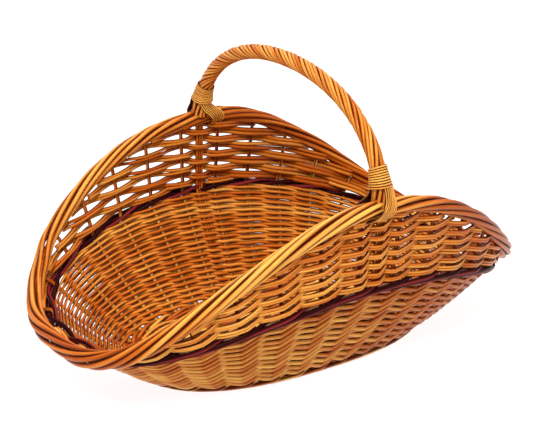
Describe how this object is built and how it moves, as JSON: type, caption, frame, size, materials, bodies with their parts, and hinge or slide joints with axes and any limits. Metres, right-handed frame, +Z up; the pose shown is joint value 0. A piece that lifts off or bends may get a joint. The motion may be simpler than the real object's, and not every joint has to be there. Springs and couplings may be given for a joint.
{
  "type": "log carrier basket",
  "caption": "Boat-shaped willow log basket with low ends, high sides, a dark woven row, a thick border and a fixed roped bow handle across the middle.",
  "frame": {"origin": "on the ground, under the middle of the base", "axes": "+Z up, +X along the length to one low end, +Y to one high side where the handle stands"},
  "size_m": [0.6128, 0.383, 0.3548],
  "materials": {
    "weave_willow": "gloss varnish",
    "stake_willow": "gloss varnish",
    "golden_willow": "gloss varnish",
    "dark_willow": "gloss varnish"
  },
  "bodies": {
    "root": {"base_cross_stick_1": "weave_willow", "base_cross_stick_2": "weave_willow", "base_cross_stick_3": "weave_willow", "base_cross_stick_4": "weave_willow", "base_cross_stick_5": "weave_willow", "base_long_stick_1": "weave_willow", "base_long_stick_2": "weave_willow", "base_long_stick_3": "weave_willow", "base_weave": "weave_willow", "border": "golden_willow", "dark_wale": "dark_willow", "handle_binding_back": "golden_willow", "handle_binding_front": "golden_willow", "handle_bow": "weave_willow", "handle_lashing_back": "golden_willow", "handle_lashing_front": "golden_willow", "handle_roping": "golden_willow", "lower_weave": "weave_willow", "stake_01": "stake_willow", "stake_02": "stake_willow", "stake_03": "stake_willow", "stake_04": "stake_willow", "stake_05": "stake_willow", "stake_06": "stake_willow", "stake_07": "stake_willow", "stake_08": "stake_willow", "stake_09": "stake_willow", "stake_10": "stake_willow", "stake_11": "stake_willow", "stake_12": "stake_willow", "stake_13": "stake_willow", "stake_14": "stake_willow", "stake_15": "stake_willow", "stake_16": "stake_willow", "stake_17": "stake_willow", "stake_18": "stake_willow", "stake_19": "stake_willow", "stake_20": "stake_willow", "stake_21": "stake_willow", "stake_22": "stake_willow", "stake_23": "stake_willow", "stake_24": "stake_willow", "stake_25": "stake_willow", "stake_26": "stake_willow", "stake_27": "stake_willow", "stake_28": "stake_willow", "stake_29": "stake_willow", "stake_30": "stake_willow", "stake_31": "stake_willow", "stake_32": "stake_willow", "upper_weave_back": "weave_willow", "upper_weave_front": "weave_willow"}
  },
  "joints": []
}
